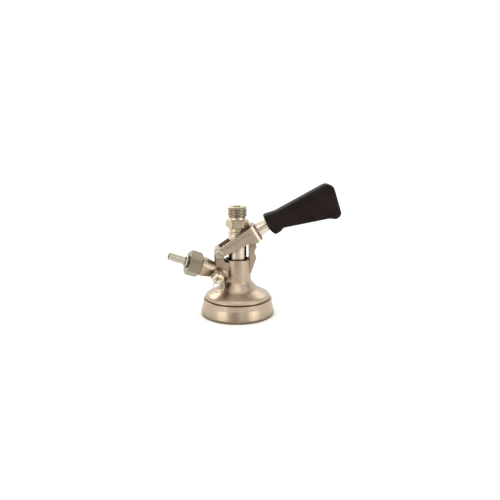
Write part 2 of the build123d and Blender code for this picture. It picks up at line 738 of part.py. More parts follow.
def build_relief_stem():
    """Disc and rod, with a cross hole beyond the cap for the pull ring."""
    low = relief_seat_len + 0.1 + relief_seal_t
    top = boss_len + cap_len
    hole = top + eye_len
    stem = turned([
        (0, low), (relief_disc_r, low), (relief_disc_r, low + relief_disc_t),
        (relief_rod_r, low + relief_disc_t), (relief_rod_r, hole + eye_end), (0, hole + eye_end),
    ], [0, 0, 0.3, 0, 0.8, 0])
    stem -= Pos(0, 0, hole) * Rot(0, 90, 0) * Cylinder(eye_hole_r, 20)
    return RELIEF * stem


def build_relief_seal():
    low = relief_seat_len + 0.1
    return RELIEF * rod(relief_disc_r, low, low + relief_seal_t)


def build_relief_spring():
    start = relief_seat_len + 0.1 + relief_seal_t + relief_disc_t
    end = boss_len + cap_len - cap_wall
    mean_r = relief_rod_r + 0.3 + relief_spring_wire
    return RELIEF * square_wire_spring(mean_r, relief_spring_wire, start, end, relief_spring_turns)


def build_pull_ring():
    """Wire ring hanging straight down from the hole in the stem's end."""
    hinge = relief_origin + relief_dir * (boss_len + cap_len + eye_len)
    sag = ring_r - sqrt(ring_r ** 2 - relief_rod_r ** 2)
    centre = hinge - Vector(0, 0, ring_r - sag / 2)
    plane = Plane(origin=centre, x_dir=eye_dir, z_dir=eye_dir.cross(Vector(0, 0, 1)))
    return plane.location * Torus(ring_r, ring_wire_r)


# ---------------------------------------------------------------- the whole coupler
nodes = {
    "body": build_body(),
    "keg_seal": build_keg_seal(),
    "neck_oring_lower": build_neck_oring(oring_zs[0]),
    "neck_oring_upper": build_neck_oring(oring_zs[1]),
    "pivot_pin": build_pivot_pin(),
    "pivot_clip": build_pivot_clip(),
    "probe": build_probe(),
    "probe_tip_seal": build_tip_seal(),
    "ball_cage": build_ball_cage(),
    "check_ball": build_check_ball(),
    "beer_outlet": build_beer_outlet(),
    "fork": build_fork(),
    "drive_pins": build_drive_pins(),
    "stem": build_stem(),
    "latch_plunger": build_plunger(),
    "latch_spring": build_latch_spring(),
    "stem_plug": build_stem_plug(),
    "cross_pin": build_cross_pin(),
    "grip": build_grip(),
    "gas_washer": build_gas_washer(),
    "gas_tail": build_gas_tail(),
    "gas_nut": build_gas_nut(),
    "gas_check_valve": build_check_valve(),
    "relief_cap": build_relief_cap(),
    "relief_stem": build_relief_stem(),
    "relief_seal": build_relief_seal(),
    "relief_spring": build_relief_spring(),
    "pull_ring": build_pull_ring(),
}

os.makedirs("parts", exist_ok=True)
for name, shape in nodes.items():
    export_step(shape, f"parts/{name}.step")
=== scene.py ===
import json
from math import cos, pi, radians, sin, sqrt, tan

import bmesh
import bpy
from mathutils import Matrix, Vector


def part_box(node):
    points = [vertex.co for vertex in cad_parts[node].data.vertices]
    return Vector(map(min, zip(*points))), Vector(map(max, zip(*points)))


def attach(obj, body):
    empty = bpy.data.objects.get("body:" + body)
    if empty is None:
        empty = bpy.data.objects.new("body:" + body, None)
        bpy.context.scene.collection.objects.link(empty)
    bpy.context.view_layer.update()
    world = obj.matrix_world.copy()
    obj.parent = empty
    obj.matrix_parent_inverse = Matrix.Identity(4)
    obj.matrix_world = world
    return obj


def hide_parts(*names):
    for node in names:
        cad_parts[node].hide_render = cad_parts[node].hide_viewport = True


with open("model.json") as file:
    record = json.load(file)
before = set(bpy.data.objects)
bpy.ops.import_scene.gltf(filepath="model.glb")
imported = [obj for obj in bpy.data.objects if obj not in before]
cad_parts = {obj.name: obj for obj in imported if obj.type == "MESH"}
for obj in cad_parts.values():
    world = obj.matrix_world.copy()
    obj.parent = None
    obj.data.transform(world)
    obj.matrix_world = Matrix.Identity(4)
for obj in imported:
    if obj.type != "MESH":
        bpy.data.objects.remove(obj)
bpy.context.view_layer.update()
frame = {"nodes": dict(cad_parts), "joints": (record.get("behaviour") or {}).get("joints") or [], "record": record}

MM = 0.001

# ---------------------------------------------------------------- what the frame says
joints = {j["name"]: j for j in frame["joints"]}
mounts = {m["name"]: m for m in frame["record"]["mounts"]}
pivot = Vector(joints["lever_swing"]["pos_m"])
lever_dir = -Vector(joints["latch_slide"]["axis"]).normalized()
gas_dir = Vector(mounts["gas_hose_tail"]["axis"]).normalized()
relief_dir = Vector(joints["relief_pull"]["axis"]).normalized()
ring_hinge = Vector(joints["ring_swing"]["pos_m"])
ring_axis = Vector(joints["ring_swing"]["axis"]).normalized()
thread_r = mounts["beer_outlet_thread"]["dims"]["r_mm"] * MM
outlet_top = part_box("beer_outlet")[1].z

# ---------------------------------------------------------------- camera
CAMERA_AZIMUTH = radians(-5.0)
CAMERA_DISTANCE = 0.637      # level distance from the probe's axis
CAMERA_HEIGHT = 0.219
CAMERA_PITCH = radians(12.5)
CAMERA_ASIDE = 0.0149        # the axis stands a little left of the frame's middle
CAMERA_LENS = 39.67


def set_camera():
    """The photograph's viewpoint: slightly left of the lever's plane, looking a little down."""
    back = Vector((sin(CAMERA_AZIMUTH), -cos(CAMERA_AZIMUTH), 0))
    right = Vector((cos(CAMERA_AZIMUTH), sin(CAMERA_AZIMUTH), 0))
    look = -back * cos(CAMERA_PITCH) - Vector((0, 0, sin(CAMERA_PITCH)))
    up = right.cross(look)
    place = back * CAMERA_DISTANCE + right * CAMERA_ASIDE + Vector((0, 0, CAMERA_HEIGHT))
    data = bpy.data.cameras.new("camera")
    data.lens = CAMERA_LENS
    data.sensor_width = 36
    camera = bpy.data.objects.new("camera", data)
    turn = Matrix((right, up, -look)).transposed().to_4x4()
    camera.matrix_world = Matrix.Translation(place) @ turn
    bpy.context.scene.collection.objects.link(camera)
    bpy.context.scene.camera = camera


# ---------------------------------------------------------------- light and floor
FLOOR_R = 0.30
FLOOR_PAPER = (0.95, 0.95, 0.95)
SOFTBOX_AWAY = 0.9
SOFTBOX_AIM = Vector((0, 0, 0.06))
SOFTBOX_COLOUR = (1, 0.985, 0.96)
TENT = 1.2
TENT_WHITE = (1, 0.98, 0.95, 1)
TENT_OPENING = (0.22, 0.20, 0.18, 1)
BACKDROP = 1.2                # what the camera sees behind the coupler


def softbox(name, azimuth, elevation, size, brightness):
    """Softbox at an azimuth to the right of the camera's side, aimed at the coupler."""
    turn, rise = radians(azimuth), radians(elevation)
    away = Vector((sin(turn) * cos(rise), -cos(turn) * cos(rise), sin(rise)))
    data = bpy.data.lights.new(name, "AREA")
    data.shape = "RECTANGLE"
    data.size, data.size_y = size
    data.energy = brightness * pi * size[0] * size[1]
    data.color = SOFTBOX_COLOUR
    lamp = bpy.data.objects.new(name, data)
    turned = (-away).to_track_quat("-Z", "Y").to_matrix().to_4x4()
    lamp.matrix_world = Matrix.Translation(SOFTBOX_AIM + SOFTBOX_AWAY * away) @ turned
    bpy.context.scene.collection.objects.link(lamp)


def set_lights():
    softbox("front_left", -52, 12, (0.50, 0.50), 2.2)
    softbox("front_right", 48, 12, (0.45, 0.50), 2.2)
    softbox("back_left", -142, 38, (0.30, 0.30), 4.4)
    softbox("back_right", 140, 38, (0.30, 0.30), 1.6)
    softbox("front_low", 8, 4, (0.25, 0.25), 1.3)
    softbox("front_high", -4, 62, (0.35, 0.30), 1.4)


def set_world():
    """White light tent, dark round the opening that the camera looks through."""
    world = bpy.data.worlds.new("studio")
    bpy.context.scene.world = world
    world.use_nodes = True
    tree = world.node_tree
    tent = tree.nodes["Background"]
    where = tree.nodes.new("ShaderNodeTexCoord")
    facing = tree.nodes.new("ShaderNodeVectorMath")
    facing.operation = "DOT_PRODUCT"
    tree.links.new(where.outputs["Generated"], facing.inputs[0])
    facing.inputs[1].default_value = (sin(CAMERA_AZIMUTH), -cos(CAMERA_AZIMUTH), 0)
    shift = tree.nodes.new("ShaderNodeMapRange")
    shift.inputs["From Min"].default_value = -1
    shift.inputs["From Max"].default_value = 1
    tree.links.new(facing.outputs["Value"], shift.inputs["Value"])
    ramp = tree.nodes.new("ShaderNodeValToRGB")
    tree.links.new(shift.outputs[0], ramp.inputs[0])
    ramp.color_ramp.interpolation = "EASE"
    ramp.color_ramp.elements[0].position = 0.86
    ramp.color_ramp.elements[0].color = TENT_WHITE
    ramp.color_ramp.elements[1].position = 0.99
    ramp.color_ramp.elements[1].color = TENT_OPENING
    tree.links.new(ramp.outputs[0], tent.inputs["Color"])
    tent.inputs["Strength"].default_value = TENT
    seen = tree.nodes.new("ShaderNodeBackground")
    seen.inputs["Color"].default_value = (1, 1, 1, 1)
    seen.inputs["Strength"].default_value = BACKDROP
    path = tree.nodes.new("ShaderNodeLightPath")
    choose = tree.nodes.new("ShaderNodeMixShader")
    tree.links.new(path.outputs["Is Camera Ray"], choose.inputs["Fac"])
    tree.links.new(tent.outputs[0], choose.inputs[1])
    tree.links.new(seen.outputs[0], choose.inputs[2])
    tree.links.new(choose.outputs[0], tree.nodes["World Output"].inputs["Surface"])
    bpy.context.scene.view_settings.view_transform = "Standard"


def make_floor():
    """Round of white paper, just wide enough for the contact shadow."""
    mesh = bpy.data.meshes.new("floor")
    steps = 96
    turns = [2 * pi * i / steps for i in range(steps)]
    corners = [(FLOOR_R * cos(turn), FLOOR_R * sin(turn), 0) for turn in turns]
    mesh.from_pydata(corners, [], [tuple(range(steps))])
    floor = bpy.data.objects.new("floor", mesh)
    bpy.context.scene.collection.objects.link(floor)
    material = bpy.data.materials.new("floor_paper")
    material.use_nodes = True
    shader = material.node_tree.nodes["Principled BSDF"]
    shader.inputs["Base Color"].default_value = (*FLOOR_PAPER, 1)
    shader.inputs["Roughness"].default_value = 0.9
    mesh.materials.append(material)


# ---------------------------------------------------------------- material building blocks
class Shader:
    """A material being built: its node tree, with millimetre coordinates ready for textures."""

    def __init__(self, name):
        self.material = bpy.data.materials.new(name)
        self.material.use_nodes = True
        self.tree = self.material.node_tree
        self.bsdf = self.tree.nodes["Principled BSDF"]
        where = self.node("ShaderNodeTexCoord")
        self.mm = self.node("ShaderNodeVectorMath", operation="SCALE")
        self.join(where.outputs["Object"], self.mm.inputs[0])
        self.mm.inputs["Scale"].default_value = 1000
        self.mm = self.mm.outputs[0]

    def node(self, kind, **settings):
        made = self.tree.nodes.new(kind)
        for key, value in settings.items():
            setattr(made, key, value)
        return made

    def join(self, output, socket):
        self.tree.links.new(output, socket)

    def noise(self, scale, detail=3.0, roughness=0.55, where=None):
        """Noise with this many features a millimetre."""
        made = self.node("ShaderNodeTexNoise")
        self.join(where or self.mm, made.inputs["Vector"])
        made.inputs["Scale"].default_value = scale
        made.inputs["Detail"].default_value = detail
        made.inputs["Roughness"].default_value = roughness
        return made.outputs["Fac"]

    def ramp(self, value, low, high, low_to=0.0, high_to=1.0):
        made = self.node("ShaderNodeMapRange")
        self.join(value, made.inputs["Value"])
        for key, number in (("From Min", low), ("From Max", high), ("To Min", low_to), ("To Max", high_to)):
            made.inputs[key].default_value = number
        return made.outputs[0]

    def mix(self, factor, first, second):
        """Colour mix; each colour is an (r, g, b) or an output."""
        made = self.node("ShaderNodeMix", data_type="RGBA")
        self.join(factor, made.inputs["Factor"])
        for socket, colour in ((made.inputs[6], first), (made.inputs[7], second)):
            if isinstance(colour, tuple):
                socket.default_value = (*colour, 1)
            else:
                self.join(colour, socket)
        return made.outputs[2]

    def along(self, axis):
        """Distance along an axis through the origin, in millimetres."""
        made = self.node("ShaderNodeVectorMath", operation="DOT_PRODUCT")
        self.join(self.mm, made.inputs[0])
        made.inputs[1].default_value = tuple(axis)
        return made.outputs["Value"]

    def stretched(self, axis, squeeze):
        """Coordinates for lines round an axis: distance along it, many times finer than round it."""
        along = self.along(axis)
        part = self.node("ShaderNodeVectorMath", operation="SCALE")
        part.inputs[0].default_value = tuple(Vector(axis) * (squeeze - 1))
        self.join(along, part.inputs["Scale"])
        total = self.node("ShaderNodeVectorMath", operation="ADD")
        self.join(self.mm, total.inputs[0])
        self.join(part.outputs[0], total.inputs[1])
        return total.outputs[0]

    def bump(self, height, depth_mm, normal=None):
        made = self.node("ShaderNodeBump")
        self.join(height, made.inputs["Height"])
        made.inputs["Strength"].default_value = 1.0
        made.inputs["Distance"].default_value = depth_mm * MM
        if normal is not None:
            self.join(normal, made.inputs["Normal"])
        return made.outputs[0]

    def soft_edges(self, radius_mm):
        made = self.node("ShaderNodeBevel", samples=4)
        made.inputs["Radius"].default_value = radius_mm * MM
        return made.outputs[0]

    def crevices(self, reach_mm):
        """1 in the open, falling to 0 in corners and recesses."""
        made = self.node("ShaderNodeAmbientOcclusion", samples=8)
        made.inputs["Distance"].default_value = reach_mm * MM
        return made.outputs["AO"]


def plated_metal(name, light, dark, rough, grain=0.012, lines=None, line_depth=0.004, edge=0.3, reach=5):
    """Nickel plate: mottled tone, blasted grain, turning lines round an axis, painted brown shade in corners and
    recesses.
    """
    s = Shader(name)
    mottle = s.ramp(s.noise(0.09, 4, 0.6), 0.35, 0.65)
    tone = s.mix(mottle, light, tuple(0.93 * c for c in light))
    # painted shade: ambient occlusion mixes the colour towards brown in corners, recesses and beside neighbouring
    # parts
    unshaded = s.ramp(s.crevices(reach), 0.35, 0.95)
    tone = s.mix(unshaded, dark, tone)
    s.join(tone, s.bsdf.inputs["Base Color"])
    s.bsdf.inputs["Metallic"].default_value = 1.0
    smear = s.ramp(s.noise(0.35, 5, 0.65), 0.3, 0.7, rough - 0.05, rough + 0.07)
    s.join(smear, s.bsdf.inputs["Roughness"])
    normal = s.soft_edges(edge)
    normal = s.bump(s.noise(2.6, 2, 0.5), grain, normal)
    if lines is not None:
        normal = s.bump(s.noise(0.5, 4, 0.6, s.stretched(lines, 9)), line_depth, normal)
    s.join(normal, s.bsdf.inputs["Normal"])
    return s.material


def polished(name, light, dark, rough=0.14):
    """Bright plate with faint wiping marks, and painted brown shade in its corners."""
    s = Shader(name)
    # painted shade: ambient occlusion mixes the colour towards brown in corners and recesses
    unshaded = s.ramp(s.crevices(2.5), 0.3, 0.95)
    s.join(s.mix(unshaded, dark, light), s.bsdf.inputs["Base Color"])
    s.bsdf.inputs["Metallic"].default_value = 1.0
    s.join(s.ramp(s.noise(0.5, 5, 0.7), 0.3, 0.7, rough - 0.03, rough + 0.09), s.bsdf.inputs["Roughness"])
    normal = s.bump(s.noise(0.25, 3, 0.5), 0.02, s.soft_edges(0.15))
    s.join(normal, s.bsdf.inputs["Normal"])
    return s.material


def moulded_grip(name):
    """Black plastic: faint mould texture, slightly greyer where hands have rubbed its edges."""
    s = Shader(name)
    rubbed = s.ramp(s.noise(0.06, 4, 0.6), 0.35, 0.7)
    s.join(s.mix(rubbed, (0.011, 0.007, 0.0055), (0.018, 0.012, 0.010)), s.bsdf.inputs["Base Color"])
    s.join(s.ramp(s.noise(0.5, 4, 0.6), 0.3, 0.7, 0.42, 0.56), s.bsdf.inputs["Roughness"])
    s.bsdf.inputs["Specular IOR Level"].default_value = 0.06
    normal = s.bump(s.noise(3.2, 2, 0.5), 0.010, s.soft_edges(0.4))
    s.join(normal, s.bsdf.inputs["Normal"])
    return s.material


def rubber(name):
    s = Shader(name)
    bloom = s.ramp(s.noise(0.3, 4, 0.6), 0.35, 0.7)
    s.join(s.mix(bloom, (0.012, 0.012, 0.012), (0.03, 0.029, 0.028)), s.bsdf.inputs["Base Color"])
    s.join(s.ramp(s.noise(0.8, 3, 0.6), 0.3, 0.7, 0.5, 0.68), s.bsdf.inputs["Roughness"])
    s.join(s.bump(s.noise(2.4, 2, 0.5), 0.015, s.soft_edges(0.2)), s.bsdf.inputs["Normal"])
    return s.material


def pale_plastic(name):
    s = Shader(name)
    s.join(s.mix(s.noise(0.3, 3, 0.5), (0.78, 0.77, 0.72), (0.85, 0.84, 0.8)), s.bsdf.inputs["Base Color"])
    s.join(s.ramp(s.noise(1.2, 3, 0.5), 0.3, 0.7, 0.42, 0.55), s.bsdf.inputs["Roughness"])
    s.join(s.bump(s.noise(1.5, 2, 0.5), 0.01, s.soft_edges(0.2)), s.bsdf.inputs["Normal"])
    return s.material


UP = Vector((0, 0, 1))
PAINTED_SHADE_BROWN = (0.115, 0.075, 0.042)     # painted shade: the colour every metal darkens to in corners, recesses and beside neighbouring parts


def make_materials():
    """One material for each slot of the record, and a closer one for three small pieces."""
    return {
        # reach: how far, in millimetres, the painted shade spreads from corners and neighbouring parts
        "satin_body": plated_metal(
            "satin_body", (0.44, 0.355, 0.265), PAINTED_SHADE_BROWN, 0.31, lines=UP, reach=14),
        "satin_tube": plated_metal("satin_tube", (0.66, 0.57, 0.45), PAINTED_SHADE_BROWN, 0.24, 0.005, UP),
        "outlet_metal": plated_metal(
            "outlet_metal", (0.56, 0.48, 0.36), PAINTED_SHADE_BROWN, 0.32, 0.006, UP, 0.003, reach=2),
        "lever_metal": plated_metal("lever_metal", (0.50, 0.42, 0.33), PAINTED_SHADE_BROWN, 0.32, 0.010, reach=9),
        "bright_stem": plated_metal(
            "bright_stem", (0.66, 0.60, 0.48), PAINTED_SHADE_BROWN, 0.24, 0.003, gas_dir, 0.002, reach=3),
        "nut_metal": plated_metal(
            "nut_metal", (0.26, 0.222, 0.165), PAINTED_SHADE_BROWN, 0.2, 0.008, gas_dir, 0.004, edge=0.2),
        "tail_metal": plated_metal(
            "tail_metal", (0.43, 0.41, 0.33), PAINTED_SHADE_BROWN, 0.2, 0.003, gas_dir, 0.002, reach=3),
        "cap_metal": plated_metal(
            "cap_metal", (0.84, 0.74, 0.58), PAINTED_SHADE_BROWN, 0.28, 0.004, relief_dir, 0.003, reach=2),
        "polished_steel": polished("polished_steel", (0.70, 0.65, 0.56), PAINTED_SHADE_BROWN),
        "ring_wire": polished("ring_wire", (0.46, 0.39, 0.30), PAINTED_SHADE_BROWN, 0.2),
        "black_grip": moulded_grip("black_grip"),
        "black_rubber": rubber("black_rubber"),
        "white_plastic": pale_plastic("white_plastic"),
    }


def dress_cad(materials):
    """Gives every CAD node its slot's material, or the closer one made for it."""
    slots = {p["node"]: p["material_slot"] for p in frame["record"]["subparts"]}
    slots.update(gas_tail="tail_metal", relief_cap="cap_metal")
    for name, thing in frame["nodes"].items():
        thing.data.materials.clear()
        thing.data.materials.append(materials[slots[name]])


# ---------------------------------------------------------------- mesh helpers
SHARP = radians(32)           # edges that bend more than this stay sharp


def add_piece(name, vertices, faces, material, body):
    """New piece from its mesh: smooth, with its sharp edges kept, riding on a body."""
    mesh = bpy.data.meshes.new(name)
    mesh.from_pydata(vertices, [], faces)
    mesh.validate()
    mesh.materials.append(material)
    piece = bpy.data.objects.new(name, mesh)
    bpy.context.scene.collection.objects.link(piece)
    mesh.shade_smooth()
    mesh.set_sharp_from_angle(angle=SHARP)
    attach(piece, body)
    return piece


def turned_mesh(profile, steps=96):
    """Vertices and faces of a closed (r, z) profile turned about Z, in metres."""
    vertices, faces = [], []
    count = len(profile)
    for i in range(steps):
        angle = 2 * pi * i / steps
        vertices += [(r * cos(angle), r * sin(angle), z) for r, z in profile]
    for i in range(steps):
        here, there = i * count, (i + 1) % steps * count
        for k in range(count):
            after = (k + 1) % count
            faces.append((here + k, there + k, there + after, here + after))
    return vertices, faces


def joined(*parts):
    """Several (vertices, faces) meshes as one."""
    vertices, faces = [], []
    for more_vertices, more_faces in parts:
        start = len(vertices)
        vertices += more_vertices
        faces += [tuple(start + i for i in face) for face in more_faces]
    return vertices, faces


def thread_mesh(major_r, low, high, pitch, depth, steps=72):
    """Helical ridge between two heights, faded out at both ends, with rounded crests and roots."""
    form = [(0.0, 0.0), (0.10, 0.0), (0.36, 0.93), (0.42, 1.0), (0.58, 1.0), (0.64, 0.93), (0.90, 0.0)]
    turns = (high - low) / pitch + 1
    total = int(turns * steps)
    vertices, faces = [], []
    for i in range(total + 1):
        angle = 2 * pi * i / steps
        base = low - pitch + pitch * i / steps
        for along, rise in form:
            z = min(max(base + along * pitch, low), high)
            fade = min(1.0, (z - low) / (0.4 * pitch), (high - z) / (0.5 * pitch) + 0.15)
            r = major_r - depth + depth * rise * max(fade, 0)
            vertices.append((r * cos(angle), r * sin(angle), z))
    count = len(form)
    for i in range(total):
        for k in range(count - 1):
            a, b = i * count + k, (i + 1) * count + k
            faces.append((a, b, b + 1, a + 1))
        a, b = i * count + count - 1, (i + 1) * count + count - 1
        if i + steps < total:
            c, d = (i + steps) * count, (i + steps + 1) * count
            faces.append((a, b, d, c))
    return vertices, faces


def hex_mesh(across_flats, low, high, inner_r, steps_per_flat=12):
    """Hexagon about Z with corners turned down to 30 degrees at both ends, open inside."""
    half = across_flats / 2
    face_r = half - 0.02 * across_flats
    corner_soft = 0.985 * across_flats / sqrt(3)
    rings = []
    steps = 6 * steps_per_flat
    for i in range(steps):
        angle = 2 * pi * i / steps
        r = min(half / cos(angle % (pi / 3) - pi / 6), corner_soft)
        drop = (r - face_r) * tan(radians(30))
        rings.append([
            (inner_r, low), (face_r, low), (r, low + drop), (r, high - drop), (face_r, high), (inner_r, high),
        ])
    vertices, faces = [], []
    for i, ring in enumerate(rings):
        angle = 2 * pi * i / steps
        vertices += [(r * cos(angle), r * sin(angle), z) for r, z in ring]
    count = len(rings[0])
    for i in range(steps):
        here, there = i * count, (i + 1) % steps * count
        for k in range(count):
            after = (k + 1) % count
            faces.append((here + k, there + k, there + after, here + after))
    return vertices, faces


def wire_mesh(path, wire_r, round_steps=10):
    """Round wire along a list of points, closed by flat ends."""
    vertices, faces = [], []
    normal = (path[1] - path[0]).orthogonal().normalized()
    for i, point in enumerate(path):
        ahead = path[min(i + 1, len(path) - 1)] - path[max(i - 1, 0)]
        ahead.normalize()
        normal = (normal - ahead * normal.dot(ahead)).normalized()
        side = ahead.cross(normal)
        for k in range(round_steps):
            angle = 2 * pi * k / round_steps
            vertices.append(point + wire_r * (normal * cos(angle) + side * sin(angle)))
    for i in range(len(path) - 1):
        for k in range(round_steps):
            after = (k + 1) % round_steps
            a, b = i * round_steps, (i + 1) * round_steps
            faces.append((a + k, a + after, b + after, b + k))
    last = (len(path) - 1) * round_steps
    faces.append(tuple(range(round_steps))[::-1])
    faces.append(tuple(last + k for k in range(round_steps)))
    return [tuple(v) for v in vertices], faces


# ---------------------------------------------------------------- beer outlet
THREAD_PITCH = 1.814 * MM     # G 5/8, 14 threads to the inch
THREAD_DEPTH = 1.16 * MM
THREAD_LEN = 12.0 * MM        # this and the next lie below the outlet's top
HEX_HIGH = 15.5 * MM
HEX_LOW = 24.7 * MM
TUBE_TOP = 32.0 * MM          # where the outlet is screwed into the probe's tube
HEX_FLATS = 24.0 * MM
OUTLET_BORE_R = 6.0 * MM
OUTLET_NECK_R = 9.4 * MM
OUTLET_FOOT_R = 10.4 * MM
OUTLET_RELIEF_R = 9.7 * MM    # neck between thread and hexagon
OUTLET_SPIGOT_R = 8.0 * MM
OUTLET_SPIGOT_LEN = 9.0 * MM


def make_beer_outlet(materials):
    """Outlet with its real thread: a turned core, the hexagon and the helical ridge."""
    top = outlet_top
    thread_low = top - THREAD_LEN
    hex_low, hex_high = top - HEX_LOW, top - HEX_HIGH
    tube_top = top - TUBE_TOP
    bore, neck, foot, relief = OUTLET_BORE_R, OUTLET_NECK_R, OUTLET_FOOT_R, OUTLET_RELIEF_R
    spigot_low = tube_top - OUTLET_SPIGOT_LEN
    core_r = foot + 0.4 * MM      # core hidden inside the hexagon
    root = thread_r - THREAD_DEPTH
    core = [
        (bore, spigot_low), (OUTLET_SPIGOT_R, spigot_low), (OUTLET_SPIGOT_R, tube_top),
        (foot - 0.2 * MM, tube_top), (foot, tube_top + 0.2 * MM), (foot, tube_top + 2.0 * MM),
        (neck, tube_top + 2.8 * MM), (neck, hex_low - 0.9 * MM), (foot, hex_low),
        (core_r, hex_low), (core_r, hex_high), (relief + 0.2 * MM, hex_high + 0.6 * MM),
        (relief, hex_high + 1.0 * MM), (relief, thread_low - 0.5 * MM), (root, thread_low + 0.2 * MM),
        (root, top - 0.5 * MM), (root - 0.4 * MM, top), (bore + 0.8 * MM, top), (bore, top - 0.8 * MM),
    ]
    hexagon = hex_mesh(HEX_FLATS, hex_low, hex_high, 9.0 * MM)
    thread = thread_mesh(thread_r, thread_low, top - 0.3 * MM, THREAD_PITCH, THREAD_DEPTH)
    vertices, faces = joined(turned_mesh(core), hexagon, thread)
    metal = materials["outlet_metal"]
    piece = add_piece("beer_outlet_threaded", vertices, faces, metal, "probe")
    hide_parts("beer_outlet")


# ---------------------------------------------------------------- pull ring
RING_WIRE_R = 0.50 * MM
RING_STEPS = 64               # points in each turn
RING_START = radians(200)


def make_pull_ring(materials):
    """Split ring: two turns of wire side by side."""
    low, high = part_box("pull_ring")
    turn_r = (high.z - low.z) / 2 - RING_WIRE_R
    centre = Vector((ring_hinge.x, ring_hinge.y, (low.z + high.z) / 2))
    face = ring_axis.cross(UP).normalized()
    path = []
    for i in range(2 * RING_STEPS + 1):
        angle = 2 * pi * i / RING_STEPS + RING_START
        aside = (i / RING_STEPS - 1) * RING_WIRE_R * 1.02
        spoke = ring_axis * cos(angle) + UP * sin(angle)
        path.append(centre + spoke * turn_r + face * aside)
    vertices, faces = wire_mesh(path, RING_WIRE_R)
    wire = materials["ring_wire"]
    piece = add_piece("pull_ring_wire", vertices, faces, wire, "pull_ring")
    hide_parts("pull_ring")


# ---------------------------------------------------------------- lever: fork, stem and grip
lever_up = lever_dir.cross(Vector((0, 1, 0))).normalized()


def lever_point(along, above, across):
    """Point in the lever's frame, in millimetres from its pivot, across towards the camera."""
    return pivot + (lever_dir * along + lever_up * above - Vector((0, across, 0))) * MM


def lever_reach(node):
    """How far a CAD node reaches along the lever, in millimetres from its pivot."""
    spots = [(v.co - pivot).dot(lever_dir) / MM for v in frame["nodes"][node].data.vertices]
    return min(spots), max(spots)


def solid(name, vertices, faces):
    """Loose closed solid with its faces turned outwards."""
    mesh = bpy.data.meshes.new(name)
    mesh.from_pydata([tuple(v) for v in vertices], [], faces)
    work = bmesh.new()
    work.from_mesh(mesh)
    bmesh.ops.recalc_face_normals(work, faces=work.faces)
    work.to_mesh(mesh)
    work.free()
    made = bpy.data.objects.new(name, mesh)
    bpy.context.scene.collection.objects.link(made)
    return made


def rings_solid(name, rings):
    """Closed solid through rings of equally many points, with flat ends."""
    count = len(rings[0])
    faces = [tuple(range(count)), tuple((len(rings) - 1) * count + k for k in range(count))]
    for i in range(len(rings) - 1):
        for k in range(count):
            after = (k + 1) % count
            faces.append((i * count + k, i * count + after, (i + 1) * count + after, (i + 1) * count + k))
    return solid(name, [point for ring in rings for point in ring], faces)


def lever_rod(name, profile, above=0.0, steps=72):
    """Solid turned about a line along the lever, from (radius, distance along it) steps."""
    turns = [2 * pi * (i + 0.5) / steps for i in range(steps)]
    return rings_solid(name, [
        [lever_point(along, above + r * cos(turn), r * sin(turn)) for turn in turns] for r, along in profile
    ])


def cross_slot(name, start, end, above, sections, steps=36):
    """Slot-shaped solid across the lever, from (half width, place across) sections."""
    turns = [2 * pi * (i + 0.5) / steps for i in range(steps)]
    return rings_solid(name, [
        [lever_point((end if cos(turn) > 0 else start) + r * cos(turn), above + r * sin(turn), across)
         for turn in turns]
        for r, across in sections
    ])


def settle(piece, modifiers):
    """Bakes (kind, settings) modifiers into the piece's mesh."""
    for kind, settings in modifiers:
        step = piece.modifiers.new(kind.lower(), kind)
        for key, value in settings.items():
            setattr(step, key, value)
    bpy.context.view_layer.update()
    ready = piece.evaluated_get(bpy.context.evaluated_depsgraph_get())
    mesh = bpy.data.meshes.new_from_object(ready)
    piece.modifiers.clear()
    piece.data = mesh


def carve(piece, added=(), taken=()):
    """Joins loose solids to a piece and takes others out of it."""
    tools = list(added) + list(taken)
    steps = [("BOOLEAN", {"operation": "UNION", "solver": "EXACT", "object": t}) for t in added]
    steps += [("BOOLEAN", {"operation": "DIFFERENCE", "solver": "EXACT", "object": t}) for t in taken]
    settle(piece, steps)
    for tool in tools:
        bpy.data.objects.remove(tool)


def finish_solid(piece, material, body, slot_name, *stands_for):
    """Gives a carved piece its shading, material, body and the CAD nodes it stands for."""
    mesh = piece.data
    mesh.shade_smooth()
    mesh.set_sharp_from_angle(angle=SHARP)
    settle(piece, [("WEIGHTED_NORMAL", {"keep_sharp": True})])
    piece.data.materials.clear()
    piece.data.materials.append(material)
    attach(piece, body)
    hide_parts(*stands_for)


# Millimetres in the lever's frame: along it, above its pivot and across it.
ARM_END_R = 5.0
ARM_THICK = 3.2
ARM_LOW = 7.8                 # arm's lower edge where the gusset starts
GUSSET = (33.6, 43.6)         # where it starts and ends along the arm
YOKE_THICK = 5.8
YOKE_HIGH = 7.4
YOKE_LOW = 12.3
YOKE_OUTER_R = 7.0
YOKE_INNER_R = 2.0
FORK_EDGE = 0.9
CHANNEL = (9.5, 40.5)         # shallow channel along each arm's outer face
CHANNEL_ABOVE = 1.2
CHANNEL_DEPTH = 0.5
PIVOT_HOLE_R = 3.06
SPIGOT_R = 5.0                # stem's spigot in the yoke
SPIGOT_FIT = 0.02

STEM_DROP = 2.6               # the stem's round lies below the plunger's axis
STEM_FOOT_R = 9.0
STEM_NECK_R = 7.5
STEM_TAPER = 7.6
STEM_IN_GRIP = 3.0            # thick part of the stem inside the grip, grip pulled out
STEM_PLUG_LEN = 3.0
BAR_R = 5.5                   # round the plunger's head
BAR_END_R = 4.6               # round the spring
HEAD_BORE_R = 4.8
SPRING_BORE_R = 4.15
PLUNGER_HOLE_R = 3.56
PIN_SLOT_HALF = 1.8
LATCH_TRAVEL = 4.0

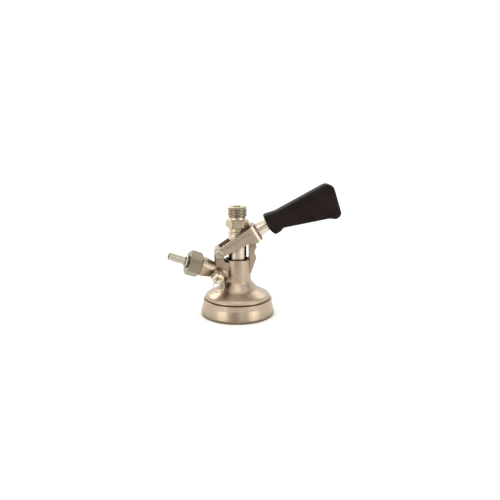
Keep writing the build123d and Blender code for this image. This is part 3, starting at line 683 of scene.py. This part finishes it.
GRIP_GAP = 12.0               # yoke to the grip's near face
GRIP_NEAR_TOP = (2.6, 9.8)    # the grip's upper side, from its near face: near end,
GRIP_VALLEY = (17.4, 6.0)     # valley
GRIP_FAR_TOP = (91.5, 2.0)    # and far end
GRIP_BLEND = 3.0              # half the length of the valley's rounding
GRIP_SLANT = 2.6 / 12.8       # near face, along for each millimetre above
GRIP_PLAY = 0.1
OLD_BORE_R = 6.9              # what the CAD grip's bore needs to be filled
OLD_BORE_END = 46.0
FILLED_TO = 3.0
CROWN_HALF = 6.15             # flat part of the upper side
PIN_HOLE_R = 1.52
PIN_HOLE_END = 9.6


def fork_side(along, yoke_out):
    """Lowest and highest point of the fork's side view, this far along the lever."""
    if along < 0:
        half = sqrt(max(ARM_END_R ** 2 - along ** 2, 0.0))
        return -half, half
    high = ARM_END_R + (YOKE_HIGH - ARM_END_R) * min(along / (yoke_out - YOKE_THICK), 1)
    start, end = GUSSET
    if along < start:
        low = ARM_END_R + (ARM_LOW - ARM_END_R) * along / start
    else:
        low = ARM_LOW + (YOKE_LOW - ARM_LOW) * min((along - start) / (end - start), 1)
    return -low, high


def make_fork(materials):
    """Two arms with a shallow channel that grow towards the deep yoke they run into."""
    yoke_out = lever_reach("fork")[1]
    arm_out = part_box("fork")[1].y / MM
    arm_in, yoke_in = arm_out - ARM_THICK, yoke_out - YOKE_THICK
    outer, inner = [], []
    for i in range(1, 13):
        along = -ARM_END_R * cos(radians(7.5 * i))
        outer.append((along, arm_out))
        inner.append((along, arm_in))
    for along in (8, 16, 24, GUSSET[0], 38, GUSSET[1]):
        outer.append((along, arm_out))
        inner.append((along, arm_in))
    for i in range(10):
        turn = radians(10 * i)
        outer.append((yoke_out - YOKE_OUTER_R * (1 - sin(turn)), arm_out - YOKE_OUTER_R * (1 - cos(turn))))
        inner.append((yoke_in - YOKE_INNER_R * (1 - sin(turn)), arm_in - YOKE_INNER_R * (1 - cos(turn))))
    outer += [(along, -across) for along, across in reversed(outer)]
    inner += [(along, -across) for along, across in reversed(inner)]
    rings = []
    for (out_u, out_w), (in_u, in_w) in zip(outer, inner):
        out_low, out_high = fork_side(out_u, yoke_out)
        in_low, in_high = fork_side(in_u, yoke_out)
        rings.append([
            lever_point(out_u, out_low, out_w), lever_point(out_u, out_high, out_w),
            lever_point(in_u, in_high, in_w), lever_point(in_u, in_low, in_w),
        ])
    fork = rings_solid("fork_forged", rings)
    settle(fork, [("BEVEL", {
        "width": FORK_EDGE * MM, "segments": 4, "limit_method": "ANGLE", "angle_limit": radians(50),
    })])
    channel_floor, channel_open = arm_out - CHANNEL_DEPTH, arm_out + 0.7
    carve(fork, taken=[
        cross_slot("pin_hole", 0, 0, 0, [(PIVOT_HOLE_R, -2 * arm_out), (PIVOT_HOLE_R, 2 * arm_out)]),
        lever_rod("yoke_hole", [(SPIGOT_R + SPIGOT_FIT, yoke_in - 4), (SPIGOT_R + SPIGOT_FIT, yoke_out + 1)]),
        cross_slot("near_channel", *CHANNEL, CHANNEL_ABOVE, [(1.0, channel_floor), (2.2, channel_open)]),
        cross_slot("far_channel", *CHANNEL, CHANNEL_ABOVE, [(2.2, -channel_open), (1.0, -channel_floor)]),
    ])
    finish_solid(fork, materials["lever_metal"], "lever", "lever_metal", "fork")


def make_stem(materials):
    """Stem that leaves the yoke thick and low, and runs on as a hollow bar inside the grip.

    Gives back where its thick part, the bore round the plunger's head, and the whole stem end.
    """
    yoke_out = lever_reach("fork")[1]
    start = lever_reach("stem")[0]
    inside = yoke_out + GRIP_GAP + STEM_IN_GRIP
    head_end = lever_reach("latch_plunger")[1] + 0.4
    plug_start = lever_reach("stem_plug")[0]
    end = plug_start + STEM_PLUG_LEN
    pin_at = sum(lever_reach("cross_pin")) / 2
    stem = lever_rod("stem_forged", [
        (STEM_FOOT_R, yoke_out), (STEM_NECK_R, yoke_out + STEM_TAPER), (STEM_NECK_R, inside - 0.5),
        (STEM_NECK_R - 0.5, inside),
    ], -STEM_DROP)
    carve(stem, added=[
        lever_rod("spigot", [(SPIGOT_R, start), (SPIGOT_R, yoke_out + 2)]),
        lever_rod("bar", [
            (BAR_R, inside - 2), (BAR_R, head_end), (BAR_END_R, head_end + 0.8), (BAR_END_R, end - 0.4),
            (BAR_END_R - 0.4, end),
        ]),
    ], taken=[
        lever_rod("plunger_hole", [(PLUNGER_HOLE_R, start - 1), (PLUNGER_HOLE_R, inside)]),
        lever_rod("spring_bore", [
            (HEAD_BORE_R, inside - 2.5), (HEAD_BORE_R, head_end), (SPRING_BORE_R, head_end + 0.3),
            (SPRING_BORE_R, plug_start + 0.1),
        ]),
        cross_slot("pin_slot", pin_at - LATCH_TRAVEL, pin_at, 0, [
            (PIN_SLOT_HALF, -2 * BAR_R), (PIN_SLOT_HALF, 2 * BAR_R),
        ]),
    ])
    finish_solid(stem, materials["bright_stem"], "lever", "bright_stem", "stem", "stem_plug")
    return inside, head_end, end


def grip_top(along):
    """Height of the grip's upper side at a distance from its near face."""
    valley_at, valley_high = GRIP_VALLEY
    fall = (valley_high - GRIP_NEAR_TOP[1]) / (valley_at - GRIP_NEAR_TOP[0])
    ease = (GRIP_FAR_TOP[1] - valley_high) / (GRIP_FAR_TOP[0] - valley_at)
    past = min(max(along - valley_at + GRIP_BLEND, 0), 2 * GRIP_BLEND)
    height = valley_high + fall * (min(along, valley_at - GRIP_BLEND) - valley_at + past)
    height += (ease - fall) * past ** 2 / (4 * GRIP_BLEND)
    return height + ease * max(along - valley_at - GRIP_BLEND, 0)


def prism(name, outline, half):
    """Solid across the lever from an outline of (along, above) points."""
    return rings_solid(name, [[lever_point(u, v, across) for u, v in outline] for across in (-half, half)])


def make_grip(materials, stem_inside, head_end, stem_end):
    """The moulded grip with a closed upper side, bored for the stem's own steps."""
    near = lever_reach("fork")[1] + GRIP_GAP
    far = near + OLD_BORE_END
    grip = bpy.data.objects.new("grip_moulded", frame["nodes"]["grip"].data.copy())
    bpy.context.scene.collection.objects.link(grip)
    face = [(near + GRIP_SLANT * (above + 3) + 0.02, above) for above in (FILLED_TO - 1, OLD_BORE_R)]
    run = [13.9 + 0.6 * i for i in range(12)] + [30, OLD_BORE_END]
    upper = [(near + along, grip_top(along) - 0.01) for along in run]
    crown = prism("crown", face + upper + [(far, FILLED_TO - 1)], CROWN_HALF)
    core = prism("core", [
        (near + 2.5, -OLD_BORE_R), (near + 2.5, FILLED_TO), (far, FILLED_TO), (far, -OLD_BORE_R),
    ], OLD_BORE_R)
    pin_at = sum(lever_reach("cross_pin")) / 2
    seat_r, bar_r, bar_end_r = (r + GRIP_PLAY for r in (STEM_NECK_R, BAR_R, BAR_END_R))
    carve(grip, added=[core, crown], taken=[
        lever_rod("stem_seat", [(seat_r, near - 1), (seat_r, stem_inside + LATCH_TRAVEL + 0.4)], -STEM_DROP),
        lever_rod("bar_bore", [
            (bar_r, stem_inside), (bar_r, head_end + LATCH_TRAVEL + 0.2),
            (bar_end_r, head_end + LATCH_TRAVEL + 1.0), (bar_end_r, stem_end + LATCH_TRAVEL + 0.4),
        ]),
        cross_slot("pin_hole", pin_at, pin_at, 0, [(PIN_HOLE_R, -12), (PIN_HOLE_R, PIN_HOLE_END)]),
    ])
    finish_solid(grip, materials["black_grip"], "grip", "black_grip", "grip")


# ---------------------------------------------------------------- the scene
set_camera()
set_world()
set_lights()
make_floor()
materials = make_materials()
dress_cad(materials)
make_beer_outlet(materials)
make_pull_ring(materials)
make_fork(materials)
make_grip(materials, *make_stem(materials))
